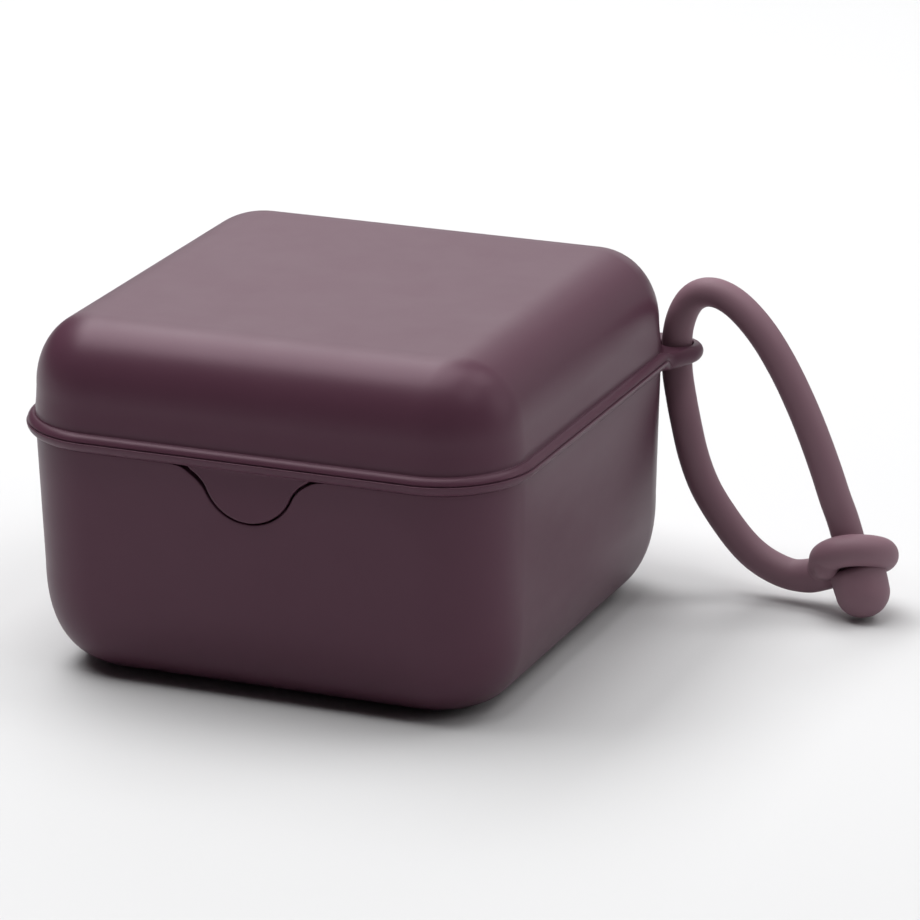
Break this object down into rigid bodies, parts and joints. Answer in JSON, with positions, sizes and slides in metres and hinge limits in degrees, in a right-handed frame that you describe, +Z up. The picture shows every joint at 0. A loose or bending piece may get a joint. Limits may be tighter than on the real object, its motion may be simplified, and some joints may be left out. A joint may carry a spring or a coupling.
{
  "type": "pacifier sterilizer case",
  "caption": "Rounded square steam case for pacifiers with a hinged domed lid, thumb tab, lift-out perforated tray and a rubber carrying loop through an ear at the rim.",
  "frame": {"origin": "middle of the flat face under the base that the case rests on", "axes": "+Z up, the front with the thumb tab faces -Y, the ear with the strap is at the +X +Y corner, and the hinge runs along X at the +Y side"},
  "size_m": [0.1302, 0.0949, 0.061],
  "materials": {
    "case": "fine satin moulded polypropylene, dark plum",
    "tray": "satin moulded polypropylene, lighter plum",
    "strap": "matte silicone, dark plum"
  },
  "bodies": {
    "base": {"base_shell": "case"},
    "lid": {"lid_shell": "case"},
    "insert": {"insert_tray": "tray"},
    "strap": {"strap_upper": "strap", "strap_lower": "strap", "strap_ring": "strap", "strap_ball": "strap"}
  },
  "joints": [
    {"name": "lid_hinge", "type": "hinge", "parent": "base", "child": "lid", "pos_m": [0, 0.0473, 0.0408], "axis": [-1, 0, 0], "range_deg": [0, 110]},
    {"name": "strap_swing", "type": "hinge", "parent": "lid", "child": "strap", "pos_m": [0.0434, 0.04, 0.0419], "axis": [0, 0, 1], "range_deg": [-25, 75]},
    {"name": "tray_lift", "type": "slide", "parent": "base", "child": "insert", "axis": [0, 0, 1], "range_m": [0, 0.024]}
  ]
}
